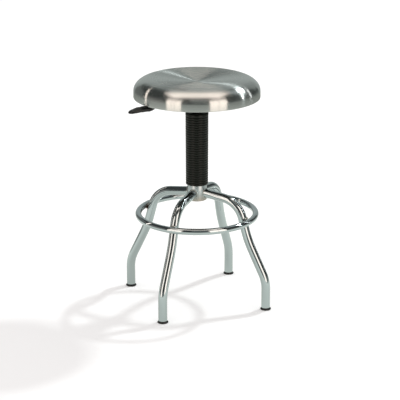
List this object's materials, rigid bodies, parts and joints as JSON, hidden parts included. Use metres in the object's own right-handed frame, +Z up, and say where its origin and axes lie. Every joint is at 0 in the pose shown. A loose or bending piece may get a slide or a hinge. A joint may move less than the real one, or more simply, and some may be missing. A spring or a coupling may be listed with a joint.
{
  "type": "swivel bar stool",
  "caption": "Swivel bar stool: dished round steel seat on a gas lift with a ribbed gaiter, bent tube legs, a foot ring and a height lever under the rim.",
  "frame": {"origin": "on the floor, under the swivel axis", "axes": "+Z up along the swivel axis; the legs lie along -Y (front), +X (right), +Y (rear) and -X (left); the lever points between -X and -Y at rest"},
  "size_m": [0.4688, 0.4688, 0.6566],
  "materials": {
    "chrome": "polished chrome plate on tube",
    "seat_steel": "spun stainless, brushed in circles",
    "zinc_steel": "zinc plated",
    "bearing_steel": "ground",
    "black_steel": "black paint",
    "brass": "turned",
    "black_plastic": "moulded, satin",
    "black_rubber": "moulded, satin",
    "nylon": "natural nylon",
    "plywood": "moulded plywood, raw"
  },
  "bodies": {
    "base": {"hub_tube": "chrome", "leg_front": "chrome", "leg_right": "chrome", "leg_rear": "chrome", "leg_left": "chrome", "foot_ring": "chrome", "foot_cap_front": "black_plastic", "foot_cap_right": "black_plastic", "foot_cap_rear": "black_plastic", "foot_cap_left": "black_plastic", "outer_tube": "black_steel", "guide_bush": "nylon", "bearing_lower_race": "bearing_steel"},
    "spindle": {"bearing_ball_1": "bearing_steel", "bearing_ball_2": "bearing_steel", "bearing_ball_3": "bearing_steel", "bearing_ball_4": "bearing_steel", "bearing_ball_5": "bearing_steel", "bearing_ball_6": "bearing_steel", "bearing_ball_7": "bearing_steel", "bearing_ball_8": "bearing_steel", "ball_cage": "brass", "bearing_upper_race": "bearing_steel", "rubber_buffer": "black_rubber", "piston_rod": "bearing_steel", "piston": "black_plastic", "piston_nut": "zinc_steel", "clip_washer": "zinc_steel", "retaining_clip": "zinc_steel", "bellows": "black_rubber"},
    "seat": {"pressure_tube": "black_steel", "rod_guide": "nylon", "valve_body": "brass", "taper_socket": "zinc_steel", "lever_housing": "black_steel", "seat_plate": "black_steel", "lever_pivot_pin": "zinc_steel", "pivot_push_nut": "zinc_steel", "mounting_bolt_1": "zinc_steel", "mounting_bolt_2": "zinc_steel", "mounting_bolt_3": "zinc_steel", "mounting_bolt_4": "zinc_steel", "lock_washer_1": "zinc_steel", "lock_washer_2": "zinc_steel", "lock_washer_3": "zinc_steel", "lock_washer_4": "zinc_steel", "threaded_insert_1": "brass", "threaded_insert_2": "brass", "threaded_insert_3": "brass", "threaded_insert_4": "brass", "seat_board": "plywood", "seat_pan": "seat_steel"},
    "lever": {"lever_rod": "zinc_steel", "lever_grip": "black_plastic"},
    "release": {"release_pin": "bearing_steel"}
  },
  "joints": [
    {"name": "seat_swivel", "type": "hinge", "parent": "base", "child": "spindle", "pos_m": [0, 0, 0.3166], "axis": [0, 0, 1], "continuous": true},
    {"name": "seat_lift", "type": "slide", "parent": "spindle", "child": "seat", "axis": [0, 0, 1], "range_m": [0, 0.12], "deforming": ["bellows"]},
    {"name": "lever_pull", "type": "hinge", "parent": "seat", "child": "lever", "pos_m": [-0.02523, -0.03726, 0.6125], "axis": [-0.8281, 0.5606, 0], "range_deg": [0, 3], "stiffness_Nm_per_rad": 10, "springref_deg": -2.86},
    {"name": "release_push", "type": "slide", "parent": "seat", "child": "release", "axis": [0, 0, 1], "range_m": [-0.0025, 0]}
  ],
  "couplings": [
    {"joint": "release_push", "follows": "lever_pull", "m_per_rad": -0.045}
  ]
}
